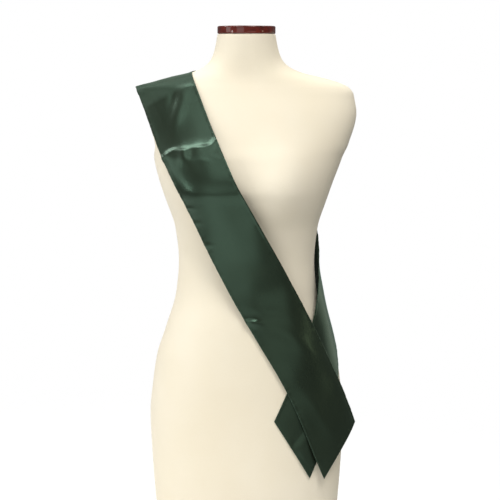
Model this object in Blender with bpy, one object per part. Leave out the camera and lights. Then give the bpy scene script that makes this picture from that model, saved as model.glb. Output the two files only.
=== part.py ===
"""Satin sash laid over the right shoulder of a limbless dress form, with both ends hanging at the left hip.

Metres, +Z up. The origin is the middle of the stand's underside, the form faces -Y and its left side
is at +X. The form is a loft of level rings. Each strip of the sash is a flat band of one width: its
middle line is walked straight ahead over a taut drape surface that spans the form's hollows, and every
cross line is walked square to it, so the band keeps its width and bends the way flat cloth can.
"""

import math
from collections import namedtuple

import bmesh
import bpy
import numpy as np
from mathutils import Matrix

# Stand
BASE_RADIUS = 0.160
BASE_HEIGHT = 0.018
BASE_ROUNDING = 0.004
POST_RADIUS = 0.0160
GAP = 0.0003  # between pieces that rest on each other

# Dress form
FORM_BOTTOM = 0.070
NECK_TOP = 0.911
CAP_RADIUS = 0.0510
CAP_HEIGHT = 0.0135
CAP_ROUNDING = 0.0022
RING_SIDES = 52
RIM_ROUNDING = 0.006  # round of the form's lower edge
NECK_ROUNDING = 0.0025
RIM_TURNS = (0, 45)  # degrees round a rim at which it has a ring
DISC_SIDES = 48
POST_SIDES = 32
BASE_SIDES = 64
DISC_RIM_STEPS = 3
SHOULDER_LOW = 0.790
SHOULDER_HIGH = 0.868
BODY_RINGS = 24
SHOULDER_RINGS = 18
NECK_RINGS = 4
BUST_SIDE = 0.080  # each bust point from the middle
BUST_HEIGHT = 0.640
BUST_SPREAD = 0.056
BUST_LIFT = 0.0248
BUST_FADE = 0.040  # the bust dies out this far in front of the form's middle

# Sash
SASH_WIDTH = 0.1035
CLOTH = 0.0012
FORM_GAP = 0.0008  # between cloth and form where they touch, which leaves room for the flats of both
ACROSS = 10  # faces across the width
ROWS = 64  # faces along each strip
ROW_CROWDING = 1.2  # over 1 sets the rows closer together near the shoulder, where the cloth turns over
STEP = 0.005  # stride of the walk along a strip
SEAM_SIDE = 0.1465  # the shoulder seam's middle, from the form's middle
SHOULDER_LINE = 0.800  # the shoulder ridge lies above this height
LEAD = 0.030  # each walk begins this far before the seam, so that the seam can be cut at a slant
FOLD_FADE = 0.020  # folds die out this near to the seam and to the end
MOST_PUSH = 0.004  # the farthest that one round of clearing moves the cloth off the form
CLEAR_ROUNDS = 4

# Search for the nearest point of a surface
PROBE = 1e-5  # distance over which its slope is measured
SEARCH_ROUNDS = 6
LONGEST_MOVE = 0.010
SHARP_EDGE = 40  # degrees over which an edge is shaded sharp

# Half width, depth in front and depth behind of a level ring; squareness 2 is an ellipse, more is squarer.
# aside: how far the ring's middle lies to the form's left, as the shoulders stand a little to that side.
Ring = namedtuple("Ring", "height half_width front back squareness aside", defaults=(0.0,))
FORM_RINGS = (
    Ring(0.0700, 0.1630, 0.1030, 0.1170, 2.15),
    Ring(0.1500, 0.1690, 0.1070, 0.1220, 2.15),
    Ring(0.2390, 0.1730, 0.1098, 0.1268, 2.16),
    Ring(0.2925, 0.1680, 0.1100, 0.1250, 2.17),
    Ring(0.3420, 0.1605, 0.1078, 0.1160, 2.16),
    Ring(0.3916, 0.1445, 0.1035, 0.0990, 2.15),
    Ring(0.4590, 0.1250, 0.0930, 0.0800, 2.15),
    Ring(0.5120, 0.1205, 0.0880, 0.0760, 2.15),
    Ring(0.5700, 0.1260, 0.0950, 0.0840, 2.20),
    Ring(0.6180, 0.1410, 0.1060, 0.0945, 2.30),
    Ring(0.6410, 0.1490, 0.1105, 0.0995, 2.35),
    Ring(0.6925, 0.1655, 0.1040, 0.1050, 2.40, 0.0025),
    Ring(0.7209, 0.1715, 0.0930, 0.1062, 2.40, 0.0090),
    Ring(0.7500, 0.1805, 0.0815, 0.1028, 2.30, 0.0095),
    Ring(0.7810, 0.1870, 0.0695, 0.0950, 2.15, 0.0062),
    Ring(0.8060, 0.1868, 0.0600, 0.0805, 1.95, 0.0018),
    Ring(0.8180, 0.1800, 0.0560, 0.0720, 1.85),
    Ring(0.8258, 0.1640, 0.0535, 0.0670, 1.80),
    Ring(0.8345, 0.1350, 0.0515, 0.0630, 1.80),
    Ring(0.8430, 0.0990, 0.0503, 0.0600, 1.88),
    Ring(0.8540, 0.0750, 0.0497, 0.0580, 1.95),
    Ring(0.8660, 0.0630, 0.0495, 0.0565, 2.00),
    Ring(0.8840, 0.0560, 0.0495, 0.0540, 2.00),
    Ring(0.9110, 0.0508, 0.0500, 0.0508, 2.00),
)
# The surface that a taut strip rides on: it bridges the waist and the hollow of the back.
BACK_DRAPE = (
    Ring(0.0700, 0.1680, 0.1060, 0.1200, 2.20),
    Ring(0.1500, 0.1720, 0.1090, 0.1240, 2.20),
    Ring(0.2390, 0.1740, 0.1110, 0.1280, 2.20),
    Ring(0.2925, 0.1690, 0.1112, 0.1262, 2.20),
    Ring(0.3420, 0.1630, 0.1093, 0.1175, 2.20),
    Ring(0.3916, 0.1520, 0.1065, 0.1060, 2.20),
    Ring(0.4590, 0.1365, 0.1065, 0.0960, 2.25),
    Ring(0.5120, 0.1290, 0.1115, 0.0925, 2.35),
    Ring(0.5700, 0.1300, 0.1195, 0.0950, 2.45),
    Ring(0.6180, 0.1430, 0.1275, 0.0990, 2.55),
    Ring(0.6410, 0.1505, 0.1310, 0.1020, 2.60),
    Ring(0.6925, 0.1690, 0.1180, 0.1065, 2.50),
    Ring(0.7209, 0.1820, 0.1020, 0.1075, 2.45),
    Ring(0.7810, 0.2000, 0.0730, 0.0965, 2.20),
    Ring(0.8060, 0.2030, 0.0615, 0.0815, 2.00),
    Ring(0.8170, 0.2000, 0.0575, 0.0735, 1.88),
    Ring(0.8270, 0.1670, 0.0545, 0.0680, 1.82),
    Ring(0.8355, 0.1350, 0.0525, 0.0640, 1.82),
    Ring(0.8440, 0.0990, 0.0513, 0.0610, 1.90),
    Ring(0.8550, 0.0750, 0.0507, 0.0590, 1.95),
    Ring(0.8670, 0.0630, 0.0505, 0.0575, 2.00),
)
# The front strip clears the bust and lies over the back one at the hip, where its end stands off the form.
FRONT_DRAPE_LOW = (
    Ring(0.0700, 0.2140, 0.1190, 0.1200, 1.70),
    Ring(0.1500, 0.2130, 0.1200, 0.1240, 1.70),
    Ring(0.2390, 0.2045, 0.1190, 0.1280, 1.78),
    Ring(0.2925, 0.1870, 0.1165, 0.1262, 1.95),
    Ring(0.3420, 0.1690, 0.1130, 0.1175, 2.12),
    Ring(0.3916, 0.1545, 0.1086, 0.1060, 2.20),
    Ring(0.4590, 0.1376, 0.1076, 0.0960, 2.25),
    Ring(0.5120, 0.1290, 0.1120, 0.0925, 2.35),
    Ring(0.5700, 0.1300, 0.1215, 0.0950, 2.45),
    Ring(0.6180, 0.1430, 0.1310, 0.0990, 2.60),
    Ring(0.6410, 0.1505, 0.1355, 0.1020, 2.68),
    Ring(0.6925, 0.1690, 0.1235, 0.1065, 2.55),
    Ring(0.7209, 0.1820, 0.1060, 0.1075, 2.47),
)
FRONT_DRAPE = FRONT_DRAPE_LOW + BACK_DRAPE[len(FRONT_DRAPE_LOW):]

# How much a strip's line turns, in radians a metre, at a distance from the seam; 0 is straight ahead.
Turn = namedtuple("Turn", "along rate")
# way: +1 walks to the back, -1 to the front. lean: degrees off square to the shoulder ridge.
# inner and outer: the length of the edge next to the neck and of the edge next to the arm.
Strip = namedtuple("Strip", "way lean inner outer drape turns")
FRONT_STRIP = Strip(
    way=-1,
    lean=5.0,
    inner=0.751,
    outer=0.807,
    drape=FRONT_DRAPE,
    turns=(
        Turn(0.00, -0.14),
        Turn(0.08, -0.25),
        Turn(0.14, 1.12),
        Turn(0.20, -0.83),
        Turn(0.30, -0.32),
        Turn(0.42, 0.39),
        Turn(0.54, -0.05),
        Turn(0.64, -1.10),
        Turn(0.72, -0.26),
        Turn(0.80, 1.63),
    ),
)
BACK_STRIP = Strip(
    way=1,
    lean=17.6,
    inner=0.813,
    outer=0.880,
    drape=BACK_DRAPE,
    turns=(Turn(0.00, 0.0),),
)

# A soft ridge (lift over 0) or trough (under 0) in the cloth. along: from the seam. across: -1 is the edge
# next to the arm, +1 the edge next to the neck. turn: degrees off the strip's own direction.
Fold = namedtuple("Fold", "along across turn length width lift")
FRONT_FOLDS = (
    Fold(0.040, 0.50, 24, 0.080, 0.022, 0.0018),
    Fold(0.162, -0.50, 82, 0.060, 0.024, 0.0026),
    Fold(0.180, 0.40, 96, 0.064, 0.024, 0.0024),
    Fold(0.190, -0.20, 8, 0.090, 0.024, 0.0014),
    Fold(0.505, -0.80, 62, 0.050, 0.024, 0.0016),
    Fold(0.560, 0.10, 30, 0.110, 0.026, 0.0014),
    Fold(0.705, -0.25, 12, 0.100, 0.024, 0.0014),
)
BACK_FOLDS = (
    Fold(0.060, 0.45, -18, 0.080, 0.024, 0.0018),
    Fold(0.150, -0.30, -80, 0.070, 0.024, 0.0018),
    Fold(0.300, 0.30, 20, 0.130, 0.026, 0.0014),
    Fold(0.470, -0.35, -14, 0.120, 0.026, 0.0014),
    Fold(0.820, -0.30, 10, 0.070, 0.022, 0.0016),
)


def smooth_through(xs, ys):
    """A curve through the points that never overshoots them (monotone cubic)."""
    xs = np.asarray(xs, float)
    ys = np.asarray(ys, float)
    span = np.diff(xs)
    slope = np.diff(ys) / span
    tangent = np.zeros(len(xs))
    tangent[0] = slope[0]
    tangent[-1] = slope[-1]
    for i in range(1, len(xs) - 1):
        if slope[i - 1] * slope[i] > 0:
            before = span[i - 1] + 2 * span[i]
            after = span[i] + 2 * span[i - 1]
            tangent[i] = (before + after) / (before / slope[i - 1] + after / slope[i])

    def value(x):
        x = np.clip(x, xs[0], xs[-1])
        i = np.clip(np.searchsorted(xs, x, side="right") - 1, 0, len(xs) - 2)
        t = (x - xs[i]) / span[i]
        rise = t * t * (3 - 2 * t)
        bend = t * (1 - t) * span[i] * ((1 - t) * tangent[i] - t * tangent[i + 1])
        return (1 - rise) * ys[i] + rise * ys[i + 1] + bend

    return value


class Loft:
    """A closed surface through level rings, with each column of the table smoothed over the height."""

    def __init__(self, rings):
        heights = [ring.height for ring in rings]
        columns = ("half_width", "front", "back", "squareness", "aside")
        self.columns = [smooth_through(heights, [getattr(ring, name) for ring in rings]) for name in columns]

    def reach(self, p):
        """How far out each point is: 0 on the surface, under 0 inside."""
        half_width, front, back, squareness, aside = (column(p[..., 2]) for column in self.columns)
        depth = np.where(p[..., 1] < 0, front, back)
        sideways = np.abs((p[..., 0] - aside) / half_width) ** squareness
        return (sideways + np.abs(p[..., 1] / depth) ** squareness) ** (1 / squareness) - 1

    def slope(self, p):
        """Gradient of reach, by differences a PROBE to each side."""
        probes = np.eye(3) * PROBE
        return np.stack([(self.reach(p + d) - self.reach(p - d)) / (2 * PROBE) for d in probes], axis=-1)

    def normal(self, p):
        return unit(self.slope(p))

    def onto(self, p):
        """The points moved square to the surface until they lie on it."""
        for _ in range(SEARCH_ROUNDS):
            slope = self.slope(p)
            steep = np.maximum((slope * slope).sum(-1), 1e-9)
            move = slope * (self.reach(p) / steep)[..., None]
            size = np.linalg.norm(move, axis=-1, keepdims=True)
            p = p - move * np.minimum(1, LONGEST_MOVE / np.maximum(size, 1e-12))
        return p

    def ring_point(self, angle, height):
        """The point of the ring at a height, at an angle counted from +X towards +Y."""
        half_width, front, back, squareness, aside = (float(column(height)) for column in self.columns)
        depth = front if math.sin(angle) < 0 else back
        power = 2 / squareness
        x = aside + half_width * math.copysign(abs(math.cos(angle)) ** power, math.cos(angle))
        y = depth * math.copysign(abs(math.sin(angle)) ** power, math.sin(angle))
        return x, y, height


def unit(v):
    return v / np.linalg.norm(v, axis=-1, keepdims=True)


def flattened(direction, normal):
    """The direction laid into the plane that the normal stands on."""
    return unit(direction - (direction * normal).sum(-1, keepdims=True) * normal)


def walk(drape, point, heading, length, rate=None):
    """Points and headings of a straight line on the drape surface, turned by rate(distance) where given."""
    points = [point]
    headings = [heading]
    for i in range(round(length / STEP)):
        point = drape.onto(point + STEP * heading)
        normal = drape.normal(point)
        heading = flattened(heading, normal)
        if rate is not None:
            angle = rate((i + 0.5) * STEP) * STEP
            heading = heading * math.cos(angle) + np.cross(normal, heading) * math.sin(angle)
        points.append(point)
        headings.append(heading)
    return np.array(points), np.array(headings)


def ridge_height(rings, side):
    """Height of the shoulder ridge at a distance from the middle, read off the rings above the widest."""
    top = [ring for ring in rings if ring.height > SHOULDER_LINE]
    height = smooth_through([-ring.half_width for ring in top], [ring.height for ring in top])
    return float(height(-side))


def band(strip):
    """The strip's middle surface as a grid: a row each STEP from LEAD before the seam, arm to neck edge."""
    drape = Loft(strip.drape)
    seam = drape.onto(np.array([-SEAM_SIDE, 0.0, ridge_height(strip.drape, SEAM_SIDE)]))
    lean = math.radians(strip.lean)
    heading = np.array([math.sin(lean), strip.way * math.cos(lean), 0.0])
    heading = flattened(heading, drape.normal(seam))
    # A turn towards the neck is to the left on the way to the front and to the right on the way back.
    toward_neck = -strip.way

    def rate(along):
        places = [turn.along for turn in strip.turns]
        return toward_neck * np.interp(along, places, [turn.rate for turn in strip.turns])

    length = max(strip.inner, strip.outer) + 2 * STEP
    points, headings = walk(drape, seam, heading, length, rate)
    lead, lead_headings = walk(drape, seam, -heading, LEAD)
    points = np.concatenate([lead[:0:-1], points])
    headings = np.concatenate([-lead_headings[:0:-1], headings])
    rows = [points]
    stride = SASH_WIDTH / ACROSS
    for side in (1, -1):
        here = points
        across = toward_neck * side * np.cross(drape.normal(points), headings)
        edge = []
        for _ in range(ACROSS // 2):
            here = drape.onto(here + across * stride)
            across = flattened(across, drape.normal(here))
            edge.append(here)
        rows = rows + edge if side == 1 else edge[::-1] + rows
    return np.stack(rows, axis=1)


def fold_lift(folds, along, across):
    """Height of the folds at a place in the flat cloth, along and across in metres."""
    total = np.zeros(np.shape(along))
    for fold in folds:
        turn = math.radians(fold.turn)
        ahead = along - fold.along
        aside = across - fold.across * SASH_WIDTH / 2
        run = (ahead * math.cos(turn) + aside * math.sin(turn)) / (fold.length / 2)
        off = (aside * math.cos(turn) - ahead * math.sin(turn)) / (fold.width / 2)
        total = total + fold.lift * np.exp(-(run**2) - off**2)
    return total


def laid_out(strip, folds, form):
    """Grid of the cloth's middle surface, from the seam's slant to the end's slant, with its folds."""
    grid = band(strip)
    columns = np.arange(ACROSS + 1)
    arm_to_neck = np.linspace(-1, 1, ACROSS + 1)
    walked = np.arange(len(grid)) * STEP - LEAD
    near = walked < 2 * LEAD
    start = [np.interp(GAP / 2, grid[near, i, 1] * strip.way, walked[near]) for i in columns]
    end = strip.outer + (strip.inner - strip.outer) * (arm_to_neck + 1) / 2
    share = np.linspace(0, 1, ROWS + 1)[:, None] ** ROW_CROWDING
    along = start * (1 - share) + end * share
    place = (along + LEAD) / STEP
    below = np.clip(np.floor(place).astype(int), 0, len(grid) - 2)
    part = (place - below)[..., None]
    column = columns[None, :]
    across = arm_to_neck[None, :] * SASH_WIDTH / 2
    cloth = grid[below, column] * (1 - part) + grid[below + 1, column] * part
    normal = Loft(strip.drape).normal(cloth)
    fade = np.clip(np.minimum(along - start, end - along) / FOLD_FADE, 0, 1)
    cloth = cloth + normal * (fold_lift(folds, along, across) * fade)[..., None]
    return kept_clear(cloth, normal, form, CLOTH / 2 + FORM_GAP)


def kept_clear(cloth, normal, form, room):
    """The cloth's points moved out along their normals wherever they come nearer to the form than room."""
    for _ in range(CLEAR_ROUNDS):
        inside = cloth - normal * room
        steep = np.maximum((form.slope(inside) * normal).sum(-1), 1e-6)
        short = np.clip(-form.reach(inside) / steep, 0, MOST_PUSH)
        cloth = cloth + normal * short[..., None]
    return cloth


class BustedLoft(Loft):
    """The form's loft with two soft bust points raised from its front."""

    def bust(self, x, z):
        away = ((np.abs(x) - BUST_SIDE) ** 2 + (z - BUST_HEIGHT) ** 2) / BUST_SPREAD**2
        return BUST_LIFT * np.exp(-away)

    def reach(self, p):
        front = np.clip(-p[..., 1] / BUST_FADE, 0, 1)
        pulled = p.copy()
        pulled[..., 1] = pulled[..., 1] + self.bust(p[..., 0], p[..., 2]) * front
        return super().reach(pulled)


def material(name, colour, roughness, metallic=0.0):
    made = bpy.data.materials.new(name)
    made.use_nodes = True
    shader = made.node_tree.nodes["Principled BSDF"]
    shader.inputs["Base Color"].default_value = (*colour, 1.0)
    shader.inputs["Roughness"].default_value = roughness
    shader.inputs["Metallic"].default_value = metallic
    return made


def add_object(name, bm, finish):
    mesh = bpy.data.meshes.new(name)
    bm.normal_update()
    bm.to_mesh(mesh)
    bm.free()
    mesh.materials.append(finish)
    mesh.shade_smooth()
    mesh.set_sharp_from_angle(angle=math.radians(SHARP_EDGE))
    made = bpy.data.objects.new(name, mesh)
    bpy.context.scene.collection.objects.link(made)
    return made


def form_rings():
    """Heights up the form, each with the height its outline is taken at and a rounded rim's inset."""
    bottom = FORM_BOTTOM + RIM_ROUNDING
    top = NECK_TOP - NECK_ROUNDING
    rings = []
    for turn in RIM_TURNS:
        rise = RIM_ROUNDING * (1 - math.cos(math.radians(turn)))
        inset = RIM_ROUNDING * (1 - math.sin(math.radians(turn)))
        rings.append((FORM_BOTTOM + rise, bottom, inset))
    body = np.linspace(bottom, SHOULDER_LOW, BODY_RINGS)
    shoulder = np.linspace(SHOULDER_LOW, SHOULDER_HIGH, SHOULDER_RINGS)[1:]
    neck = np.linspace(SHOULDER_HIGH, top, NECK_RINGS)[1:]
    rings += [(height, height, 0.0) for height in (*body, *shoulder, *neck)]
    for turn in reversed(RIM_TURNS):
        drop = NECK_ROUNDING * (1 - math.cos(math.radians(turn)))
        inset = NECK_ROUNDING * (1 - math.sin(math.radians(turn)))
        rings.append((NECK_TOP - drop, top, inset))
    return rings


def build_form(form, finish):
    """A sheet wrapped round the form ring by ring, joined at the back and closed above and underneath."""
    rings = form_rings()
    bm = bmesh.new()
    bmesh.ops.create_grid(bm, x_segments=RING_SIDES, y_segments=len(rings) - 1, size=1)
    for v in bm.verts:
        angle = math.pi / 2 + math.pi * (v.co.x + 1)
        height, taken_at, inset = rings[round((v.co.y + 1) / 2 * (len(rings) - 1))]
        x, y, _ = form.ring_point(angle, taken_at)
        shrink = 1 - inset / math.hypot(x, y)
        lift = float(form.bust(x, height)) * min(1, max(0, -y / BUST_FADE))
        v.co = (x * shrink, y * shrink - lift, height)
    bmesh.ops.remove_doubles(bm, verts=bm.verts, dist=1e-6)
    bmesh.ops.holes_fill(bm, edges=[e for e in bm.edges if e.is_boundary], sides=0)
    bmesh.ops.recalc_face_normals(bm, faces=bm.faces)
    return add_object("form_torso", bm, finish)


def build_disc(name, radius, low, high, rounding, sides, finish):
    """Upright round plate or post, with both rims rounded where rounding is given."""
    bm = bmesh.new()
    middle = Matrix.Translation((0, 0, (low + high) / 2))
    bmesh.ops.create_cone(
        bm, cap_ends=True, segments=sides, radius1=radius, radius2=radius, depth=high - low, matrix=middle
    )
    if rounding:
        rims = [e for e in bm.edges if e.calc_face_angle(0) > math.radians(60)]
        bmesh.ops.bevel(
            bm, geom=rims, offset=rounding, segments=DISC_RIM_STEPS, profile=0.5, affect="EDGES", material=-1
        )
    return add_object(name, bm, finish)


def build_strip(name, cloth, finish):
    """Sheet shaped on the grid of its middle surface and given the cloth's thickness to both sides."""
    rows, columns = cloth.shape[:2]
    bm = bmesh.new()
    bmesh.ops.create_grid(bm, x_segments=columns - 1, y_segments=rows - 1, size=1)
    for v in bm.verts:
        column = round((v.co.x + 1) / 2 * (columns - 1))
        row = round((v.co.y + 1) / 2 * (rows - 1))
        v.co = cloth[row, column]
    bm.normal_update()
    outward = sum(face.normal.x * face.calc_center_median().x for face in bm.faces)
    outward += sum(face.normal.y * face.calc_center_median().y for face in bm.faces)
    if outward < 0:
        bmesh.ops.reverse_faces(bm, faces=bm.faces)
    made = add_object(name, bm, finish)
    wall = made.modifiers.new("cloth", "SOLIDIFY")
    wall.thickness = CLOTH
    wall.offset = 0.0
    return made


def main():
    for thing in list(bpy.data.objects):
        bpy.data.objects.remove(thing, do_unlink=True)
    satin = material("green_satin", (0.045, 0.085, 0.062), 0.34)
    jersey = material("cream_jersey", (0.80, 0.74, 0.60), 0.85)
    mahogany = material("mahogany_lacquer", (0.115, 0.022, 0.014), 0.18)
    steel = material("satin_steel", (0.62, 0.62, 0.60), 0.35, 1.0)
    form = BustedLoft(FORM_RINGS)
    build_form(form, jersey)
    cap_bottom = NECK_TOP + GAP
    cap_top = cap_bottom + CAP_HEIGHT
    build_disc("neck_cap", CAP_RADIUS, cap_bottom, cap_top, CAP_ROUNDING, DISC_SIDES, mahogany)
    build_disc("stand_post", POST_RADIUS, BASE_HEIGHT + GAP, FORM_BOTTOM - GAP, 0, POST_SIDES, steel)
    build_disc("stand_base", BASE_RADIUS, 0.0, BASE_HEIGHT, BASE_ROUNDING, BASE_SIDES, mahogany)
    build_strip("sash_front", laid_out(FRONT_STRIP, FRONT_FOLDS, form), satin)
    build_strip("sash_back", laid_out(BACK_STRIP, BACK_FOLDS, form), satin)


main()
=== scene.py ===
"""Finished looks of a green satin sash that lies over the right shoulder of a limbless dress form.

Metres, +Z up. The form faces -Y and its left side is at +X. The file is laid out as an add-on with a
panel in the 3D view's sidebar, and run as a script it builds everything once.
"""

import math
from collections import namedtuple

import bmesh
import bpy
import numpy as np
from bpy.props import FloatProperty, FloatVectorProperty, PointerProperty
from mathutils import Matrix, Vector


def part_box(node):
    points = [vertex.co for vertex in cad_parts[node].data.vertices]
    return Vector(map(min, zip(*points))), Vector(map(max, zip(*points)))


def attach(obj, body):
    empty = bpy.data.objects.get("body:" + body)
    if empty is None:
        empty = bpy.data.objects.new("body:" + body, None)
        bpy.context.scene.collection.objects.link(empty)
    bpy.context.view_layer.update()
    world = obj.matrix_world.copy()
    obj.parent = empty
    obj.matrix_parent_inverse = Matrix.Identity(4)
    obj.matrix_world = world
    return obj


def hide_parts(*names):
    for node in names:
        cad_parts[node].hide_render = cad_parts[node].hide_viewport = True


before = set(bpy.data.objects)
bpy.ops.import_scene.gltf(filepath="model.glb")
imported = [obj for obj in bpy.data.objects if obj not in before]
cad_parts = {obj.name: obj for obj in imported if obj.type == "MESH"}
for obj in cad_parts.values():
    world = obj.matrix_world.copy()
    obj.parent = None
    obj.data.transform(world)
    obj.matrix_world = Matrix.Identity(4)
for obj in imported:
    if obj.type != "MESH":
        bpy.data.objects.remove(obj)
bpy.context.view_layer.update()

bl_info = {
    "name": "Satin Sash on a Dress Form",
    "version": (1, 0, 0),
    "blender": (4, 5, 0),
    "location": "View3D > Sidebar > Sash",
    "description": "Builds a hemmed satin sash, the form it lies on, the form's stand and a small studio",
    "category": "Object",
}

BODY = "root"

# Dress form: level rings, each with its half width and its depth in front of the middle and behind it.
# squareness: 2 is an ellipse and more is squarer. aside: how far the ring lies to the form's left.
Ring = namedtuple("Ring", "height half_width front back squareness aside", defaults=(0.0,))
FORM_RINGS = (
    Ring(0.0700, 0.1630, 0.1030, 0.1170, 2.15),
    Ring(0.1500, 0.1690, 0.1070, 0.1220, 2.15),
    Ring(0.2390, 0.1730, 0.1098, 0.1268, 2.16),
    Ring(0.2925, 0.1680, 0.1100, 0.1250, 2.17),
    Ring(0.3420, 0.1605, 0.1078, 0.1160, 2.16),
    Ring(0.3916, 0.1445, 0.1035, 0.0990, 2.15),
    Ring(0.4590, 0.1250, 0.0930, 0.0800, 2.15),
    Ring(0.5120, 0.1205, 0.0880, 0.0760, 2.15),
    Ring(0.5700, 0.1260, 0.0950, 0.0840, 2.20),
    Ring(0.6180, 0.1410, 0.1060, 0.0945, 2.30),
    Ring(0.6410, 0.1490, 0.1105, 0.0995, 2.35),
    Ring(0.6925, 0.1655, 0.1040, 0.1050, 2.40, 0.0025),
    Ring(0.7209, 0.1715, 0.0930, 0.1062, 2.40, 0.0090),
    Ring(0.7500, 0.1805, 0.0815, 0.1028, 2.30, 0.0095),
    Ring(0.7810, 0.1870, 0.0695, 0.0950, 2.15, 0.0062),
    Ring(0.8060, 0.1868, 0.0600, 0.0805, 1.95, 0.0018),
    Ring(0.8180, 0.1800, 0.0560, 0.0720, 1.85),
    Ring(0.8258, 0.1640, 0.0535, 0.0670, 1.80),
    Ring(0.8345, 0.1350, 0.0515, 0.0630, 1.80),
    Ring(0.8430, 0.0990, 0.0503, 0.0600, 1.88),
    Ring(0.8540, 0.0750, 0.0497, 0.0580, 1.95),
    Ring(0.8660, 0.0630, 0.0495, 0.0565, 2.00),
    Ring(0.8840, 0.0560, 0.0495, 0.0540, 2.00),
    Ring(0.9110, 0.0508, 0.0500, 0.0508, 2.00),
)
BUST_SIDE = 0.080  # each bust point from the middle
BUST_HEIGHT = 0.640
BUST_SPREAD = 0.056
BUST_LIFT = 0.0248
BUST_FADE = 0.040  # the bust dies out this far in front of the form's middle
FORM_SIDES = 168
FORM_RING_SPACING = 0.0042
RIM_ROUNDING = 0.006
NECK_ROUNDING = 0.0025
RIM_TURNS = (0, 18, 36, 54, 72)  # degrees round a rim at which it has a ring
COVER_SHARP = 50  # degrees between faces from which an edge of the cover stays sharp
GIRTH = 0.90  # mean way round the form, which sets the knit's scale
KNIT = 5200  # radians a metre: the knit's stitches are 1.2 mm wide and high

# Turned pieces
CAP_SIDES = 128
BASE_SIDES = 192
POST_SIDES = 64
POST_ROUNDING = 0.0006
TURNED_STEPS = 6  # steps round each rounded rim
TURNED_SHARP = 35  # degrees between faces from which an edge stays sharp
MERGE = 1e-6  # points nearer to each other than this become one

# The surface that a taut strip rides on: it bridges the waist and the hollow of the back.
BACK_DRAPE = (
    Ring(0.0700, 0.1680, 0.1060, 0.1200, 2.20),
    Ring(0.1500, 0.1720, 0.1090, 0.1240, 2.20),
    Ring(0.2390, 0.1740, 0.1110, 0.1280, 2.20),
    Ring(0.2925, 0.1690, 0.1112, 0.1262, 2.20),
    Ring(0.3420, 0.1630, 0.1093, 0.1175, 2.20),
    Ring(0.3916, 0.1520, 0.1065, 0.1060, 2.20),
    Ring(0.4590, 0.1365, 0.1065, 0.0960, 2.25),
    Ring(0.5120, 0.1290, 0.1115, 0.0925, 2.35),
    Ring(0.5700, 0.1300, 0.1195, 0.0950, 2.45),
    Ring(0.6180, 0.1430, 0.1275, 0.0990, 2.55),
    Ring(0.6410, 0.1505, 0.1310, 0.1020, 2.60),
    Ring(0.6925, 0.1690, 0.1180, 0.1065, 2.50),
    Ring(0.7209, 0.1820, 0.1020, 0.1075, 2.45),
    Ring(0.7810, 0.2000, 0.0730, 0.0965, 2.20),
    Ring(0.8060, 0.2030, 0.0615, 0.0815, 2.00),
    Ring(0.8170, 0.2000, 0.0575, 0.0735, 1.88),
    Ring(0.8270, 0.1670, 0.0545, 0.0680, 1.82),
    Ring(0.8355, 0.1350, 0.0525, 0.0640, 1.82),
    Ring(0.8440, 0.0990, 0.0513, 0.0610, 1.90),
    Ring(0.8550, 0.0750, 0.0507, 0.0590, 1.95),
    Ring(0.8670, 0.0630, 0.0505, 0.0575, 2.00),
)
# The front strip lies over the back one at the hip, and its end stands off the hip there. From the lowest
# up, its rings differ in these.
Over = namedtuple("Over", "half_width front squareness")
FRONT_OVER = (
    Over(0.2140, 0.1190, 1.70),
    Over(0.2130, 0.1200, 1.70),
    Over(0.2045, 0.1190, 1.78),
    Over(0.1870, 0.1165, 1.95),
    Over(0.1690, 0.1130, 2.12),
    Over(0.1545, 0.1086, 2.20),
    Over(0.1376, 0.1076, 2.25),
    Over(0.1290, 0.1120, 2.35),
    Over(0.1300, 0.1215, 2.45),
    Over(0.1430, 0.1310, 2.60),
    Over(0.1505, 0.1355, 2.68),
    Over(0.1690, 0.1235, 2.55),
    Over(0.1820, 0.1060, 2.47),
)
FRONT_DRAPE = (
    *(ring._replace(**over._asdict()) for ring, over in zip(BACK_DRAPE, FRONT_OVER)),
    *BACK_DRAPE[len(FRONT_OVER):],
)

# Sash: how its strips are laid
SHOULDER_LINE = 0.800  # the shoulder ridge lies above this height
SEAM_SIDE = 0.1465  # the shoulder seam's middle, from the form's middle
PROBE = 1e-5  # how far to each side a surface's slope is measured
ONTO_ROUNDS = 6  # rounds in which a point is brought onto a surface
ONTO_MOST = 0.01  # the farthest that one of them moves it
TINY = 1e-9  # keeps a division from failing
STEP = 0.005  # stride of the walk along a strip
LEAD = 0.030  # each walk begins this far before the seam, so that the seam can be cut at a slant
STRIDES_ACROSS = 10
FORM_GAP = 0.0014  # between the form and the middle of the cloth's thickness
PUSH_ROUNDS = 4  # rounds in which the cloth is cleared of the form
PUSH_MOST = 0.004  # the farthest that one of them moves it
POINT_SPACING = 0.0021  # between the cloth's points away from its edges
SEAM_CLEARANCE = 0.00005  # half the gap left between the two strips at the shoulder
# How far in from a hemmed edge the cloth has its next lines of points.
EDGE_LINES = (0.0, 0.0003, 0.0008, 0.0016, 0.0025, 0.0031, 0.0036, 0.0043, 0.0055, 0.0075, 0.0098)

# How much a strip's line turns, in radians a metre, at a distance from the seam; 0 is straight ahead.
Turn = namedtuple("Turn", "along rate")
# way: +1 walks to the back, -1 to the front. lean: degrees off square to the shoulder ridge.
# inner and outer: the length of the edge next to the neck and of the edge next to the arm.
Strip = namedtuple("Strip", "way lean inner outer drape turns")
FRONT_STRIP = Strip(
    way=-1,
    lean=5.0,
    inner=0.751,
    outer=0.807,
    drape=FRONT_DRAPE,
    turns=(
        Turn(0.00, -0.14),
        Turn(0.08, -0.25),
        Turn(0.14, 1.12),
        Turn(0.20, -0.83),
        Turn(0.30, -0.32),
        Turn(0.42, 0.39),
        Turn(0.54, -0.05),
        Turn(0.64, -1.10),
        Turn(0.72, -0.26),
        Turn(0.80, 1.63),
    ),
)
BACK_STRIP = Strip(
    way=1,
    lean=17.6,
    inner=0.813,
    outer=0.880,
    drape=BACK_DRAPE,
    turns=(Turn(0.00, 0.0),),
)

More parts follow.
